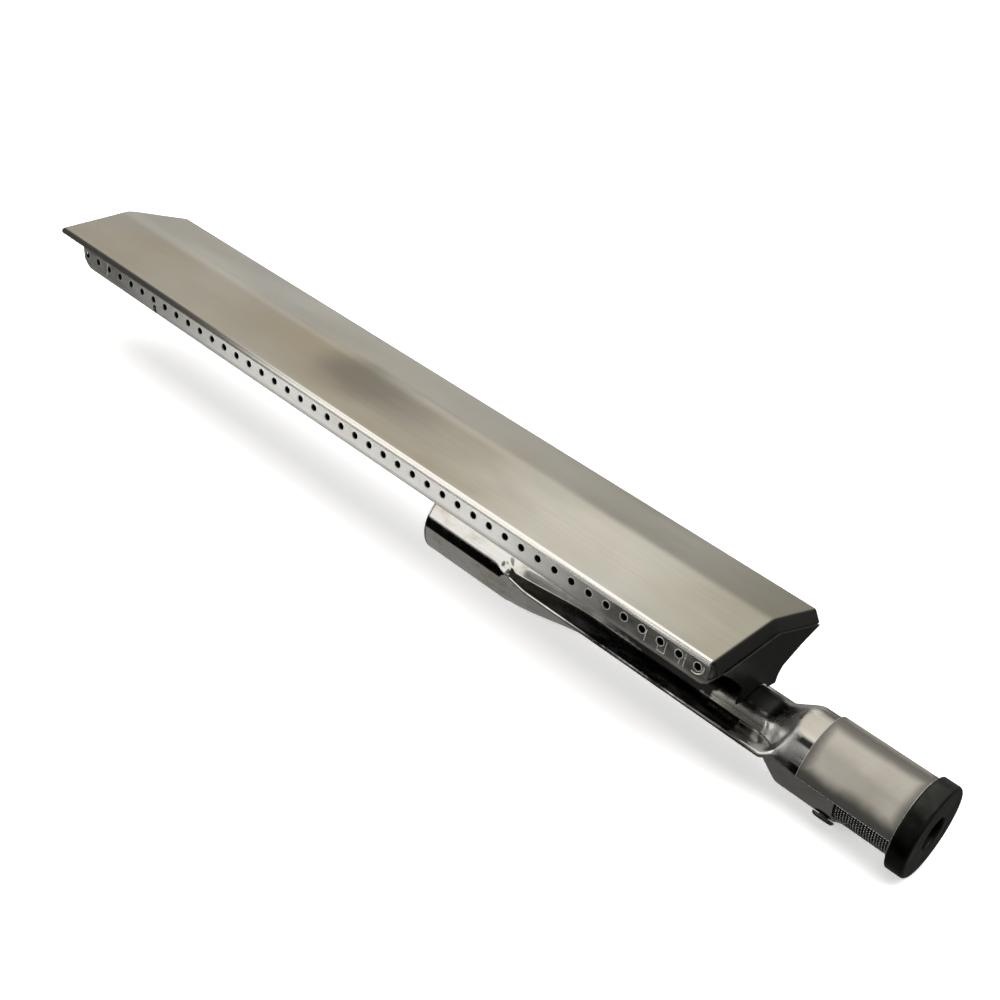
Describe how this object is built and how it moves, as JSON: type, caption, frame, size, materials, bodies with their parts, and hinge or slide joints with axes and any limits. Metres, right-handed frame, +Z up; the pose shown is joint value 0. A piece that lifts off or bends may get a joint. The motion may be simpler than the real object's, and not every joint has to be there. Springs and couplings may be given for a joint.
{
  "type": "gas grill tube burner",
  "caption": "Long ported gas burner under a shallow folded roof, with a pinched mixer tube below it, an air screen, a clip-on air shutter and an inlet cap.",
  "frame": {"origin": "centre of the orifice hole, on the inlet cap's outer face", "axes": "+X out of the inlet along the mixer tube, +Z up toward the roof's ridge, +Y across the burner"},
  "size_m": [0.4435, 0.0708, 0.0535],
  "materials": {
    "roof_steel": "fine grain along the length, semi-matt",
    "trough_steel": "smooth rolled sheet, semi-bright",
    "polished_tube": "mirror-bright drawn tube",
    "shutter_steel": "satin",
    "cap_steel": "dark satin",
    "screen_wire": "woven wire",
    "fastener": "plain"
  },
  "bodies": {
    "burner_body": {"roof_shield": "roof_steel", "ported_trough": "trough_steel", "far_end_cup": "trough_steel", "inlet_end_cup": "trough_steel", "inlet_end_plate": "cap_steel", "gas_spreader": "trough_steel", "riser_duct": "trough_steel", "venturi_tube": "polished_tube", "chamber_plug": "polished_tube", "air_screen": "screen_wire", "inlet_cap": "cap_steel", "screen_screw": "fastener", "screen_nut": "fastener"},
    "shutter": {"air_shutter": "shutter_steel"}
  },
  "joints": [
    {"name": "shutter_turn", "type": "hinge", "parent": "burner_body", "child": "shutter", "pos_m": [-0.026, 0, 0], "axis": [1, 0, 0], "range_deg": [-98, 34]}
  ]
}
